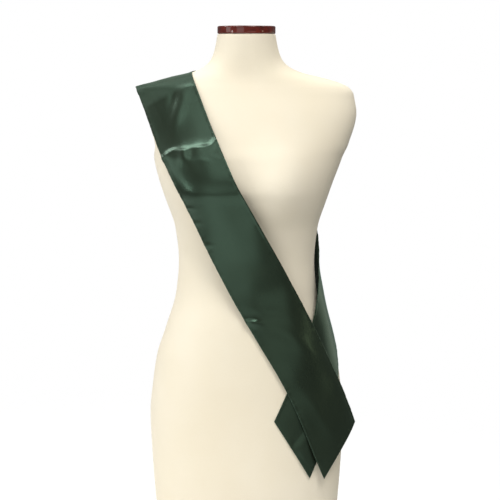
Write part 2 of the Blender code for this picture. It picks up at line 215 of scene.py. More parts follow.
# A soft ridge (lift over 0) or trough (under 0) in the cloth. along: from the seam. across: -1 is the
# edge next to the arm, +1 the edge next to the neck. turn: degrees off the strip's own direction.
Crease = namedtuple("Crease", "along across turn length width lift")
FRONT_CREASES = (
    Crease(0.030, 0.00, 82, 0.240, 0.022, 0.0018),
    Crease(0.044, 0.22, 24, 0.080, 0.022, 0.0011),
    Crease(0.074, 0.08, -30, 0.070, 0.018, -0.0012),
    Crease(0.088, 0.30, -34, 0.080, 0.024, 0.0018),
    Crease(0.060, -0.55, 6, 0.080, 0.012, 0.0005),
    Crease(0.186, -0.16, 4, 0.060, 0.020, 0.0010),
    Crease(0.187, -0.30, -28, 0.034, 0.016, 0.0012),
    Crease(0.186, 0.02, -20, 0.030, 0.014, -0.0008),
    Crease(0.274, -0.86, 62, 0.018, 0.006, 0.0008),
    Crease(0.302, -0.90, 66, 0.018, 0.006, 0.0007),
    Crease(0.345, -0.90, 60, 0.020, 0.007, 0.0008),
    Crease(0.4965, -0.84, 62, 0.028, 0.011, 0.0050),
    Crease(0.493, -0.20, 50, 0.060, 0.018, 0.0008),
    Crease(0.560, 0.10, 30, 0.110, 0.026, 0.0014),
    Crease(0.705, -0.25, 12, 0.100, 0.024, 0.0014),
)
BACK_CREASES = (
    Crease(0.060, 0.45, -18, 0.080, 0.024, 0.0018),
    Crease(0.070, -0.30, -12, 0.090, 0.014, -0.0007),
    Crease(0.150, -0.30, -80, 0.070, 0.024, 0.0018),
    Crease(0.158, 0.45, -100, 0.050, 0.014, 0.0008),
    Crease(0.300, 0.30, 20, 0.130, 0.026, 0.0014),
    Crease(0.470, -0.35, -14, 0.120, 0.026, 0.0014),
    Crease(0.330, 0.86, -68, 0.024, 0.008, 0.0007),
    Crease(0.545, 0.86, -70, 0.022, 0.008, 0.0006),
    Crease(0.820, -0.30, 10, 0.070, 0.022, 0.0016),
    Crease(0.832, 0.05, 6, 0.060, 0.010, -0.0010),
)
# The break that crosses the front strip below the shoulder, from the arm edge to the neck edge: a ridge
# whose upper side rises steeply over the distance above, and from which the cloth falls away slowly. The
# cloth rises towards it from farther off by the amount of the swell.
Crest = namedtuple("Crest", "across along above lift swell")
CREST = (
    Crest(-1.05, 0.1640, 0.0052, 0.0019, 0.0002),
    Crest(-0.86, 0.1640, 0.0052, 0.0019, 0.0002),
    Crest(-0.61, 0.1636, 0.0045, 0.0017, 0.0003),
    Crest(-0.40, 0.1668, 0.0050, 0.0017, 0.0007),
    Crest(-0.27, 0.1725, 0.0062, 0.0017, 0.0012),
    Crest(-0.16, 0.1765, 0.0062, 0.0016, 0.0016),
    Crest(-0.06, 0.1785, 0.0058, 0.0014, 0.0019),
    Crest(0.09, 0.1792, 0.0058, 0.0013, 0.0021),
    Crest(0.36, 0.1845, 0.0056, 0.0016, 0.0021),
    Crest(0.71, 0.1890, 0.0056, 0.0018, 0.0018),
    Crest(0.94, 0.1835, 0.0056, 0.0018, 0.0014),
)
SWELL_ABOVE = 0.016  # reach of the swell above the break
SWELL_BELOW = 0.034  # and below it
CREST_BELOW = 0.016  # the distance over which the ridge falls away
CREST_ROUNDING = 0.0018
CREASE_FADE = 0.012  # creases die out this near to the seam and to the end

# The unevenness of hanging satin: long low waves. turn: degrees from the strip's direction to their crests.
Ripple = namedtuple("Ripple", "turn wavelength height start")
RIPPLES = (
    Ripple(82, 0.083, 0.00022, 0.4),
    Ripple(64, 0.131, 0.00030, 2.1),
    Ripple(100, 0.057, 0.00010, 4.0),
    Ripple(8, 0.046, 0.00012, 1.2),
    Ripple(-20, 0.071, 0.00014, 5.1),
)
# Puckers that the stitching pulls into the hem.
PUCKERS = (
    Ripple(90, 0.0087, 0.00010, 0.0),
    Ripple(90, 0.0139, 0.00013, 1.7),
    Ripple(90, 0.0293, 0.00016, 3.9),
)
PUCKER_REACH = 0.006  # how far in from the edge the puckers run
EDGE_ROLL = 0.0002  # how far the rolled edge lies below the cloth beside it
EDGE_ROLL_REACH = 0.0017
# Thickness of a hem from its edge inwards, as a share of its full thickness.
HEM_TAPER = (0.0, 0.0003, 0.0008)
HEM_SHARES = (0.1, 0.6, 1.0)
HEM_STEP = 0.0012  # past its stitching it thins to one layer over this distance

PRESSED_REACH = 0.050  # the pressing of the shoulder seam dulls the satin this far
PRESSED_FADE = 0.014  # and dies out over this distance
PRESSED_DULLING = 0.30  # roughness that it adds

# Stitching
STITCH_SIDES = 6
STITCH_RINGS = 4
STITCH_FLATNESS = 0.7
STITCH_AIM = 0.0005  # a stitch points at the cloth this far on
STITCH_GROOVE = 0.00008  # depth to which a row of stitches draws the hem in
STITCH_GROOVE_HALF = 0.0007
HEM_STITCH_PROUD = 0.12  # how far a stitch's middle stands off the cloth's face, in widths of the thread
SEAM_STITCH_PROUD = -0.1
SEAM_VALLEY = 0.0005
SEAM_VALLEY_HALF = 0.0013

# Camera and light
PICTURE = 500  # pixels each way
FOCAL_PIXELS = 1695.0
SENSOR = 36.0  # millimetres wide
CAMERA_BACK = 3.0
CAMERA_ASIDE = 0.0062
CAMERA_HEIGHT = 0.845
LIGHT_TARGET = (0.0, 0.0, 0.50)
# azimuth: degrees from the camera's side of the form to the right as the camera sees it.
Softbox = namedtuple("Softbox", "name azimuth elevation distance width height watts colour")
PLAIN = (1.0, 0.99, 0.97)
CREAMY = (1.0, 0.99, 0.96)
SOFTBOXES = (
    Softbox("key_left", -76, 12, 2.3, 0.8, 0.6, 3.2, PLAIN),
    Softbox("cap_glint", -58, 5, 2.3, 0.24, 0.3, 3.0, PLAIN),
    Softbox("key_soft", -21, 56, 2.4, 0.8, 0.6, 3.0, CREAMY),
    Softbox("key_mid", -19, 33, 2.4, 0.8, 0.7, 3.0, CREAMY),
    Softbox("key_low", -24, 4, 2.4, 1.2, 1.1, 5, CREAMY),
    Softbox("side_high", -98, 41, 2.2, 0.26, 0.9, 12, PLAIN),
    Softbox("side_top", -78, 67, 2.3, 0.90, 0.42, 15.5, PLAIN),
    Softbox("key_narrow", -33, 41, 2.3, 0.26, 0.50, 2.0, PLAIN),
    Softbox("front_near", -20, -26, 1.1, 0.75, 0.50, 1.5, CREAMY),
    Softbox("front_level", 20, -4, 2.4, 1.5, 0.9, 3.2, (1.0, 0.97, 0.90)),
    Softbox("fill_right", 66, 6, 2.3, 0.18, 0.3, 0.9, (1.0, 0.82, 0.58)),
    Softbox("front_high", 25, 50, 2.6, 1.2, 0.9, 35, (1.0, 0.975, 0.94)),
    Softbox("rim_low", 125, -1, 2.3, 1.5, 0.8, 2.1, (0.90, 1.0, 0.78)),
    Softbox("behind", 155, 60, 2.6, 1.6, 1.0, 27, (1.0, 0.975, 0.92)),
)
FLOOR_RADIUS = 2.6
FLOOR_SIDES = 96
FLOOR_MIDDLE = (-0.55, -0.10, 0.0)  # about which the floor fades out
FLOOR_REACH = 1.6
FLOOR_SOLID = 0.35  # share of that reach inside which the floor hides what is behind it
FLOOR_GLOW = 0.36
WORLD_WHITE = 1.0  # strength of what is round the stage, to look at
WORLD_LIGHT = 0.13  # and as light


# ---------- shapes


def unit(v):
    return v / np.linalg.norm(v, axis=-1, keepdims=True)


def smooth_through(xs, ys):
    """A curve through the points that never overshoots them (monotone cubic)."""
    xs = np.asarray(xs, float)
    ys = np.asarray(ys, float)
    span = np.diff(xs)
    slope = np.diff(ys) / span
    tangent = np.zeros(len(xs))
    tangent[0] = slope[0]
    tangent[-1] = slope[-1]
    for i in range(1, len(xs) - 1):
        if slope[i - 1] * slope[i] > 0:
            before = span[i - 1] + 2 * span[i]
            after = span[i] + 2 * span[i - 1]
            tangent[i] = (before + after) / (before / slope[i - 1] + after / slope[i])

    def value(x):
        x = np.clip(x, xs[0], xs[-1])
        i = np.clip(np.searchsorted(xs, x, side="right") - 1, 0, len(xs) - 2)
        t = (x - xs[i]) / span[i]
        rise = t * t * (3 - 2 * t)
        bend = t * (1 - t) * span[i] * ((1 - t) * tangent[i] - t * tangent[i + 1])
        return (1 - rise) * ys[i] + rise * ys[i + 1] + bend

    return value


class Loft:
    """A closed surface through level rings, with each column of the table smoothed over the height."""

    def __init__(self, rings):
        heights = [ring.height for ring in rings]
        self.columns = []
        for name in ("half_width", "front", "back", "squareness", "aside"):
            self.columns.append(smooth_through(heights, [getattr(ring, name) for ring in rings]))

    def reach(self, p):
        """How far out each point is: 0 on the surface, under 0 inside."""
        half_width, front, back, squareness, aside = (column(p[..., 2]) for column in self.columns)
        depth = np.where(p[..., 1] < 0, front, back)
        sideways = np.abs((p[..., 0] - aside) / half_width) ** squareness
        return (sideways + np.abs(p[..., 1] / depth) ** squareness) ** (1 / squareness) - 1

    def slope(self, p):
        """Gradient of reach, by small differences to each side."""
        small = np.eye(3) * PROBE
        return np.stack([(self.reach(p + d) - self.reach(p - d)) / (2 * PROBE) for d in small], axis=-1)

    def normal(self, p):
        return unit(self.slope(p))

    def onto(self, p):
        """The points moved square to the surface until they lie on it."""
        for _ in range(ONTO_ROUNDS):
            slope = self.slope(p)
            steep = np.maximum((slope * slope).sum(-1), TINY)
            move = slope * (self.reach(p) / steep)[..., None]
            size = np.linalg.norm(move, axis=-1, keepdims=True)
            p = p - move * np.minimum(1, ONTO_MOST / np.maximum(size, TINY))
        return p

    def ring(self, angles, height):
        """Points of the ring at a height, at angles counted from +X towards +Y."""
        half_width, front, back, squareness, aside = (float(column(height)) for column in self.columns)
        along_x = np.cos(angles)
        along_y = np.sin(angles)
        depth = np.where(along_y < 0, front, back)
        x = aside + half_width * np.sign(along_x) * np.abs(along_x) ** (2 / squareness)
        y = depth * np.sign(along_y) * np.abs(along_y) ** (2 / squareness)
        return x, y


class BustedLoft(Loft):
    """The form's loft with two soft bust points raised from its front."""

    def bust(self, x, y, z):
        away = ((np.abs(x) - BUST_SIDE) ** 2 + (z - BUST_HEIGHT) ** 2) / BUST_SPREAD**2
        return BUST_LIFT * np.exp(-away) * np.clip(-y / BUST_FADE, 0, 1)

    def reach(self, p):
        pulled = p.copy()
        pulled[..., 1] = pulled[..., 1] + self.bust(p[..., 0], p[..., 1], p[..., 2])
        return super().reach(pulled)


def flattened(direction, normal):
    """The direction laid into the plane that the normal stands on."""
    return unit(direction - (direction * normal).sum(-1, keepdims=True) * normal)


def walk(drape, point, heading, length, rate=None):
    """Points and headings of a straight line on the drape, turned by rate(distance) where given."""
    points = [point]
    headings = [heading]
    for i in range(round(length / STEP)):
        point = drape.onto(point + STEP * heading)
        normal = drape.normal(point)
        heading = flattened(heading, normal)
        if rate is not None:
            angle = rate((i + 0.5) * STEP) * STEP
            heading = heading * math.cos(angle) + np.cross(normal, heading) * math.sin(angle)
        points.append(point)
        headings.append(heading)
    return np.array(points), np.array(headings)


def ridge_height(rings, side):
    """Height of the shoulder ridge at a distance from the middle, read off the rings of the shoulder."""
    top = [ring for ring in rings if ring.height > SHOULDER_LINE]
    ridge = smooth_through([-ring.half_width for ring in top], [ring.height for ring in top])
    return float(ridge(-side))


def band(strip, width):
    """The strip's surface as a grid: a row each STEP from LEAD before the seam, arm edge to neck edge."""
    drape = Loft(strip.drape)
    seam = drape.onto(np.array([-SEAM_SIDE, 0.0, ridge_height(strip.drape, SEAM_SIDE)]))
    lean = math.radians(strip.lean)
    heading = np.array([math.sin(lean), strip.way * math.cos(lean), 0.0])
    heading = flattened(heading, drape.normal(seam))
    # A turn towards the neck is to the left on the way to the front and to the right on the way back.
    toward_neck = -strip.way

    places, rates = zip(*strip.turns)

    def rate(along):
        return toward_neck * np.interp(along, places, rates)

    length = max(strip.inner, strip.outer) + 2 * STEP
    points, headings = walk(drape, seam, heading, length, rate)
    lead, lead_headings = walk(drape, seam, -heading, LEAD)
    points = np.concatenate([lead[:0:-1], points])
    headings = np.concatenate([-lead_headings[:0:-1], headings])
    rows = [points]
    stride = width / STRIDES_ACROSS
    for side in (1, -1):
        here = points
        across = toward_neck * side * np.cross(drape.normal(points), headings)
        edge = []
        for _ in range(STRIDES_ACROSS // 2):
            here = drape.onto(here + across * stride)
            across = flattened(across, drape.normal(here))
            edge.append(here)
        rows = rows + edge if side == 1 else edge[::-1] + rows
    return np.stack(rows, axis=1)


def curve_weights(t):
    """The shares of four points in a row in the smooth curve between the middle two (Catmull-Rom)."""
    return (
        t * ((2 - t) * t - 1) / 2,
        (t * t * (3 * t - 5) + 2) / 2,
        t * ((4 - 3 * t) * t + 1) / 2,
        (t - 1) * t * t / 2,
    )


def read_between(grid, row, column):
    """The grid's points at rows and columns with fractions, along smooth curves both ways."""
    for axis in (0, 1):
        grid = np.moveaxis(grid, axis, 0)
        grid = np.concatenate([2 * grid[:1] - grid[1:2], grid, 2 * grid[-1:] - grid[-2:-1]])
        grid = np.moveaxis(grid, 0, axis)
    r = np.clip(np.floor(row).astype(int), 0, grid.shape[0] - 4)
    c = np.clip(np.floor(column).astype(int), 0, grid.shape[1] - 4)
    total = 0
    for i, down in enumerate(curve_weights(row - r)):
        for j, over in enumerate(curve_weights(column - c)):
            total = total + (down * over)[..., None] * grid[r + i, c + j]
    return total


def waves(ripples, along, across):
    """Height of the ripples together at each place."""
    total = 0
    for ripple in ripples:
        turn = math.radians(ripple.turn)
        run = across * math.cos(turn) + along * math.sin(turn)
        total = total + ripple.height * np.sin(2 * math.pi * run / ripple.wavelength + ripple.start)
    return total


class LaidStrip:
    """One strip of the sash as it lies: gives the cloth's place for any place in its flat cut."""

    def __init__(self, strip, creases, settings):
        self.strip = strip
        self.creases = creases
        self.width = settings.width
        self.hem = settings.hem_width
        self.crease_share = settings.crease_share
        self.form = BustedLoft(FORM_RINGS)
        self.drape = Loft(strip.drape)
        self.grid = band(strip, self.width)
        # The seam lies where the strip starts down from the shoulder ridge.
        walked = np.arange(len(self.grid)) * STEP - LEAD
        near = walked < 2 * LEAD
        sides = np.linspace(-1, 1, STRIDES_ACROSS + 1) * self.width / 2
        ahead = [self.grid[near, i, 1] * strip.way for i in range(STRIDES_ACROSS + 1)]
        starts = [np.interp(SEAM_CLEARANCE, row, walked[near]) for row in ahead]
        self.seam = smooth_through(sides, starts)
        self.end_slant = math.cos(math.atan2(abs(strip.outer - strip.inner), self.width))

    def end(self, across):
        """Length of the cloth from the seam's middle line to its slanted end, at a place across it."""
        share = across / self.width + 0.5
        return self.strip.outer + (self.strip.inner - self.strip.outer) * share

    def from_edge(self, along, across):
        """Distance to the nearest hemmed edge in the flat cloth."""
        aside = self.width / 2 - np.abs(across)
        return np.minimum(aside, (self.end(across) - along) * self.end_slant)

    def crease_lift(self, along, across):
        """Height of the soft ridges and troughs together at each place."""
        total = 0
        for crease in self.creases:
            turn = math.radians(crease.turn)
            ahead = along - crease.along
            aside = across - crease.across * self.width / 2
            run = (ahead * math.cos(turn) + aside * math.sin(turn)) / (crease.length / 2)
            off = (aside * math.cos(turn) - ahead * math.sin(turn)) / (crease.width / 2)
            total = total + crease.lift * np.exp(-(run**2) - off**2)
        return total * self.crease_share

    def crest_lift(self, along, across):
        """Height of the front strip's break, and of the swell on both sides of it."""
        share = across / self.width * 2
        places, *columns = zip(*CREST)
        ridge, rise, lift, swell = (smooth_through(places, column)(share) for column in columns)
        past = along - ridge
        fallen = np.hypot(past, CREST_ROUNDING) - CREST_ROUNDING
        above = lift * np.exp(-((past / rise) ** 2)) + swell * np.exp(-((past / SWELL_ABOVE) ** 2))
        below = lift * np.exp(-fallen / CREST_BELOW) + swell * np.exp(-fallen / SWELL_BELOW)
        return np.where(past < 0, above, below) * self.crease_share

    def lift(self, along, across):
        """How far the cloth stands off its smooth drape: creases, ripples, puckers, hems and seam."""
        inward = self.from_edge(along, across)
        from_seam = along - self.seam(across)
        fade = np.clip(np.minimum(from_seam, self.end(across) - along) / CREASE_FADE, 0, 1)
        soft = self.crease_lift(along, across) + waves(RIPPLES, along, across)
        if self.strip is FRONT_STRIP:
            soft = soft + self.crest_lift(along, across)
        hem = waves(PUCKERS, along, across) * np.exp(-((inward / PUCKER_REACH) ** 2))
        groove = -STITCH_GROOVE * np.exp(-(((inward - self.hem) / STITCH_GROOVE_HALF) ** 2))
        groove = groove + EDGE_ROLL * (1 - np.exp(-((inward / EDGE_ROLL_REACH) ** 2)))
        valley = -SEAM_VALLEY * np.exp(-((from_seam / SEAM_VALLEY_HALF) ** 2))
        return (soft + hem) * fade + groove + valley

    def at(self, along, across):
        """Places of the cloth's middle surface, and the directions in which it faces."""
        row = (along + LEAD) / STEP
        column = (across / self.width + 0.5) * STRIDES_ACROSS
        cloth = read_between(self.grid, row, column)
        normal = self.drape.normal(cloth)
        cloth = cloth + normal * self.lift(along, across)[..., None]
        for _ in range(PUSH_ROUNDS):
            inside = cloth - normal * FORM_GAP
            steep = np.maximum((self.form.slope(inside) * normal).sum(-1), TINY)
            short = np.clip(-self.form.reach(inside) / steep, 0, PUSH_MOST)
            cloth = cloth + normal * short[..., None]
        return cloth, normal


def spaced_lines(length, hemmed_start):
    """Distances along a length: close together beside its hemmed ends, evenly spread between."""
    start = EDGE_LINES if hemmed_start else (0.0,)
    end = [length - inward for inward in reversed(EDGE_LINES)]
    count = round((end[0] - start[-1]) / POINT_SPACING)
    return np.array([*start[:-1], *np.linspace(start[-1], end[0], count + 1), *end[1:]])


# ---------- materials


class Value:
    """One output of a node; arithmetic on it adds Math nodes."""

    def __init__(self, finish, socket):
        self.finish = finish
        self.socket = socket

    def __add__(self, other):
        return self.finish.math("ADD", self, other)

    def __sub__(self, other):
        return self.finish.math("SUBTRACT", self, other)

    def __rsub__(self, other):
        return self.finish.math("SUBTRACT", other, self)

    def __mul__(self, other):
        return self.finish.math("MULTIPLY", self, other)

    def __truediv__(self, other):
        return self.finish.math("DIVIDE", self, other)

    def __rtruediv__(self, other):
        return self.finish.math("DIVIDE", other, self)

    def __pow__(self, other):
        return self.finish.math("POWER", self, other)

    def __rpow__(self, other):
        return self.finish.math("POWER", other, self)

    __radd__ = __add__
    __rmul__ = __mul__

    def sine(self):
        return self.finish.math("SINE", self)

    def held(self):
        """The value kept between 0 and 1."""
        return self.finish.node("ShaderNodeClamp", {}, {"Value": self})


class Finish:
    """A material in the making, with one Principled BSDF."""

    def __init__(self, name, **constants):
        self.material = bpy.data.materials.new(name)
        self.material.use_nodes = True
        self.tree = self.material.node_tree
        self.shader = self.tree.nodes["Principled BSDF"]
        self.shade(**constants)

    def feed(self, socket, value):
        if isinstance(value, Value):
            self.tree.links.new(value.socket, socket)
        elif socket.type == "RGBA" and len(value) == 3:
            socket.default_value = (*value, 1.0)
        else:
            socket.default_value = value

    def node(self, kind, settings, inputs, output=0):
        """A node: its settings are set first, and then its sockets are set or linked."""
        made = self.tree.nodes.new(kind)
        for name, value in settings.items():
            if name == "stops":
                ramp = made.color_ramp.elements
                while len(ramp) < len(value):
                    ramp.new(1.0)
                for element, (place, colour) in zip(ramp, value):
                    element.position = place
                    element.color = (*colour, 1.0)
            else:
                setattr(made, name, value)
        for name, value in inputs.items():
            self.feed(made.inputs[name], value)
        return Value(self, made.outputs[output])

    def math(self, operation, *values):
        return self.node("ShaderNodeMath", {"operation": operation}, dict(enumerate(values)))

    def place(self, scale=(1, 1, 1), uv=None):
        """Coordinates in metres, times a scale: of the object, or of one of its UV maps."""
        if uv:
            source = self.node("ShaderNodeUVMap", {"uv_map": uv}, {})
        else:
            source = self.node("ShaderNodeTexCoord", {}, {}, output="Object")
        return self.node("ShaderNodeMapping", {}, {"Vector": source, "Scale": scale})

    def noise(self, scale, detail, uv=None, roughness=0.5, distortion=0.0):
        inputs = {"Vector": self.place(scale, uv), "Scale": 1.0, "Detail": detail, "Roughness": roughness}
        return self.node("ShaderNodeTexNoise", {}, {**inputs, "Distortion": distortion})

    def split(self, vector):
        """A vector's X, Y and Z."""
        first = self.node("ShaderNodeSeparateXYZ", {}, {"Vector": vector})
        return [Value(self, socket) for socket in first.socket.node.outputs]

    def ramp(self, factor, *stops):
        return self.node("ShaderNodeValToRGB", {"stops": stops}, {"Fac": factor})

    def mix(self, factor, first, second):
        """One colour mixed into another, through the node's own colour sockets."""
        inputs = {"Factor": factor, 6: first, 7: second}
        return self.node("ShaderNodeMix", {"data_type": "RGBA"}, inputs, output=2)

    def bump(self, height, distance, strength):
        inputs = {"Height": height, "Distance": distance, "Strength": strength}
        return self.node("ShaderNodeBump", {}, inputs)

    def shade(self, **inputs):
        for name, value in inputs.items():
            self.feed(self.shader.inputs[name.replace("_", " ")], value)


def tint(colour, share):
    return tuple(c * share for c in colour)


def satin(name, colour, sheen_colour, roughness, glossy):
    """Satin weave: long floats along the strip, which smooth it one way and streak it faintly."""
    shine = {"Specular_Tint": sheen_colour, "Sheen_Tint": sheen_colour}
    finish = Finish(name, Specular_IOR_Level=glossy, Sheen_Weight=0.20, Sheen_Roughness=0.4, **shine)
    cloudy = finish.noise((14, 9, 1), detail=2, uv="cloth")
    floats = finish.noise((2600, 90, 1), detail=2, uv="cloth")
    slubs = finish.noise((420, 12, 1), detail=1, uv="cloth")
    _, from_seam, _ = finish.split(finish.place(uv="cloth"))
    pressed = (1 + PRESSED_REACH / PRESSED_FADE - from_seam / PRESSED_FADE).held()
    shade = (cloudy * 0.5 + floats * 0.3 + slubs * 0.2).held()
    finish.shade(
        Base_Color=finish.ramp(shade, (0.30, tint(colour, 0.80)), (0.70, tint(colour, 1.22))),
        Roughness=roughness - 0.05 + 0.07 * cloudy + 0.05 * floats + PRESSED_DULLING * pressed,
        Normal=finish.bump(floats + slubs * 0.6, distance=0.00003, strength=0.5),
    )
    return finish.material


def thread(name, colour):
    """Twisted thread, with a painted highlight: its colour is a little lighter where the twist bulges."""
    finish = Finish(name, Sheen_Weight=0.3, Specular_IOR_Level=0.4)
    twist = (finish.noise((900, 900, 900), detail=1) * 6.0).sine()
    finish.shade(
        # Painted highlight: the colour is lighter where the twist's bump stands highest.
        Base_Color=finish.mix(twist.held(), tint(colour, 0.7), tint(colour, 1.3)),
        Roughness=0.5 + 0.1 * twist.held(),
        Normal=finish.bump(twist, distance=0.00004, strength=0.6),
    )
    return finish.material


def jersey(name, colour, shadow_colour):
    """Fine single jersey: columns of stitches up the form and rows round it."""
    shine = {"Sheen_Tint": (1.0, 0.97, 0.9), "Specular_IOR_Level": 0.25}
    finish = Finish(name, Sheen_Weight=0.18, Sheen_Roughness=0.5, **shine)
    columns, rows, _ = finish.split(finish.place((KNIT, KNIT, 1), uv="knit"))
    knit = columns.sine() * 0.6 + rows.sine() * 0.25
    cloudy = finish.noise((7, 7, 5), detail=3)
    fuzz = finish.noise((700, 700, 700), detail=2)
    mask = (cloudy * 0.75 + fuzz * 0.25).held()
    finish.shade(
        Base_Color=finish.ramp(mask, (0.30, shadow_colour), (0.68, colour)),
        Roughness=0.78 + 0.12 * fuzz,
        Normal=finish.bump(knit + fuzz * 0.8, distance=0.00006, strength=0.45),
    )
    return finish.material


def lacquered_wood(name, dark, light):
    """Close mahogany grain under clear lacquer."""
    finish = Finish(name, Coat_Roughness=0.06, Coat_IOR=1.5, Specular_IOR_Level=0.2)
    grain = finish.noise((9, 120, 120), detail=5, roughness=0.6, distortion=0.4)
    pores = finish.noise((60, 1500, 900), detail=2)
    figure = (grain * 0.8 + pores * 0.2).held()
    finish.shade(
        Base_Color=finish.ramp(figure, (0.32, dark), (0.66, light)),
        Roughness=0.30 + 0.15 * pores,
        Coat_Weight=0.9 - 0.15 * pores,
        Normal=finish.bump(pores + grain * 0.5, distance=0.00004, strength=0.25),
    )
    return finish.material


def satin_steel(name, colour):
    """Steel polished round and round, with fine level scratches."""
    finish = Finish(name, Metallic=1.0)
    scratches = finish.noise((6, 6, 3200), detail=2)
    smudges = finish.noise((30, 30, 30), detail=2)
    finish.shade(
        Base_Color=finish.mix(smudges, tint(colour, 0.86), colour),
        Roughness=0.22 + 0.14 * scratches + 0.08 * smudges,
        Normal=finish.bump(scratches, distance=0.00003, strength=0.3),
    )
    return finish.material


def floor_finish(name, colour):
    """Pale floor that fades out to the white around it."""
    finish = Finish(name, Emission_Strength=1.0)
    scaled = finish.place((1 / FLOOR_REACH,) * 3)
    moved = [-middle / FLOOR_REACH for middle in FLOOR_MIDDLE]
    spread = finish.node("ShaderNodeVectorMath", {"operation": "ADD"}, {0: scaled, 1: moved})
    away = finish.node("ShaderNodeTexGradient", {"gradient_type": "SPHERICAL"}, {"Vector": spread})
    speckle = finish.noise((40, 40, 40), detail=3)
    finish.shade(
        Base_Color=finish.mix(speckle, tint(colour, 0.97), colour),
        Roughness=0.55 + 0.1 * speckle,
        Emission_Color=(FLOOR_GLOW,) * 3,
        Alpha=(away / (1 - FLOOR_SOLID)).held() ** 2,
    )
    return finish.material


# ---------- pieces


def settle(bm, name, materials):
    """The finished object of a mesh: it rides on the part's one body."""
    mesh = bpy.data.meshes.new(name)
    bm.normal_update()
    bm.to_mesh(mesh)
    bm.free()
    for material in materials:
        mesh.materials.append(material)
    mesh.shade_smooth()
    made = bpy.data.objects.new(name, mesh)
    bpy.context.scene.collection.objects.link(made)
    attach(made, BODY)
    return made


def wrapped_sheet(points, uv_name, flat, weights=None):
    """A grid of faces through rows of points, with their places when laid flat as its UV map.

    weights: the share that each point has in the sheet's first vertex group.
    """
    last_row = len(points) - 1
    last_column = len(points[0]) - 1
    bm = bmesh.new()
    uv_map = bm.loops.layers.uv.new(uv_name)
    group = bm.verts.layers.deform.verify() if weights is not None else None
    bmesh.ops.create_grid(bm, x_segments=last_column, y_segments=last_row, size=1)
    for v in bm.verts:
        column = round((v.co.x + 1) / 2 * last_column)
        row = round((v.co.y + 1) / 2 * last_row)
        v.co = points[row][column]
        if group is not None:
            v[group][0] = weights[row][column]
        for loop in v.link_loops:
            loop[uv_map].uv = flat[row][column]
    return bm


def make_cloth(name, laid, materials, settings):
    """A thin shell on the laid strip, thicker along its turned hems."""
    across = spaced_lines(laid.width, hemmed_start=True) - laid.width / 2
    mean = (laid.strip.inner + laid.strip.outer) / 2
    shares = spaced_lines(mean, hemmed_start=False)[:, None] / mean
    along = laid.seam(across) * (1 - shares) + laid.end(across) * shares
    across = np.broadcast_to(across, along.shape)
    cloth, _ = laid.at(along, across)
    inwards = (*HEM_TAPER, laid.hem, laid.hem + HEM_STEP)
    turned = np.interp(laid.from_edge(along, across), inwards, (*HEM_SHARES, 1.0, 0.0))
    bm = wrapped_sheet(cloth, "cloth", np.stack([across, along], axis=-1), turned)
    bm.normal_update()
    # The faces look away from the form's upright middle line.
    outward = sum(f.normal.dot(f.calc_center_median() * Vector((1, 1, 0))) for f in bm.faces)
    if outward < 0:
        bmesh.ops.reverse_faces(bm, faces=bm.faces)
    made = settle(bm, name, materials)
    made.vertex_groups.new(name="hem")
    wall = made.modifiers.new("cloth", "SOLIDIFY")
    wall.thickness = settings.hem_thickness
    wall.offset = 0.0
    wall.vertex_group = "hem"
    wall.thickness_vertex_group = settings.cloth_thickness / settings.hem_thickness
    wall.material_offset = 1
    return made


def hem_route(laid, inset, pitch):
    """Places in the flat cloth for a hem's stitches: along both edges and across the end."""
    side = laid.width / 2 - inset
    route = []
    for across in (-side, side):
        start = float(laid.seam(across)) + pitch
        stop = float(laid.end(across)) - inset / laid.end_slant
        for along in np.arange(start, stop - pitch / 2, pitch):
            route.append((along, across, 0.0))
    slope = (laid.strip.inner - laid.strip.outer) / laid.width
    count = round(2 * side / laid.end_slant / pitch)
    for share in (np.arange(count) + 0.5) / count:
        across = (2 * share - 1) * side
        route.append((float(laid.end(across)) - inset / laid.end_slant, across, slope))
    return np.array(route)


def make_stitches(name, places, normals, ways, settings, finish):
    """Short raised runs of thread, each along its way on the cloth: copies of one stitch, joined."""
    one = bmesh.new()
    long = settings.stitch_length / 2
    thick = settings.thread_width / 2
    size = Matrix.Diagonal((long, thick, thick * STITCH_FLATNESS, 1))
    shape = size @ Matrix.Rotation(math.pi / 2, 4, "Y")
    bmesh.ops.create_uvsphere(
        one, u_segments=STITCH_SIDES, v_segments=STITCH_RINGS, radius=1.0, matrix=shape,
    )
    stitch = bpy.data.meshes.new("stitch")
    one.to_mesh(stitch)
    one.free()
    bm = bmesh.new()
    for place, normal, way in zip(places, normals, ways):
        up = Vector(normal)
        ahead = Vector(way).normalized()
        aside = up.cross(ahead).normalized()
        turn = Matrix((ahead, aside, ahead.cross(aside))).transposed().to_4x4()
        copy = stitch.copy()
        copy.transform(Matrix.Translation(place) @ turn)
        bm.from_mesh(copy)
        bpy.data.meshes.remove(copy)
    bpy.data.meshes.remove(stitch)
    return settle(bm, name, [finish])


def sew_hem(name, laid, settings, finish):
    """The stitches that hold the hems down, along both edges and across the end."""
    pitch = settings.stitch_length + settings.stitch_gap
    route = hem_route(laid, laid.hem, pitch)
    along, across, slope = route.T
    here, normal = laid.at(along, across)
    # A long edge's stitches point along the strip, those of the end along its slant.
    on_end = slope != 0
    along_step = np.where(on_end, slope * STITCH_AIM, STITCH_AIM)
    ahead, _ = laid.at(along + along_step, across + np.where(on_end, STITCH_AIM, 0))
    proud = settings.cloth_thickness / 2 + settings.thread_width * HEM_STITCH_PROUD
    return make_stitches(name, here + normal * proud, normal, unit(ahead - here), settings, finish)


def sew_seam(name, laid, settings, finish):
    """The closing stitches that show as short bars in the valley of the shoulder seam."""
    pitch = settings.stitch_length + settings.stitch_gap
    across = np.arange(-laid.width / 2 + pitch, laid.width / 2 - pitch / 2, pitch)
    along = laid.seam(across)
    here, normal = laid.at(along, across)
    ahead, _ = laid.at(laid.seam(across + STITCH_AIM), across + STITCH_AIM)
    proud = settings.cloth_thickness / 2 + settings.thread_width * SEAM_STITCH_PROUD
    return make_stitches(name, here + normal * proud, normal, unit(ahead - here), settings, finish)


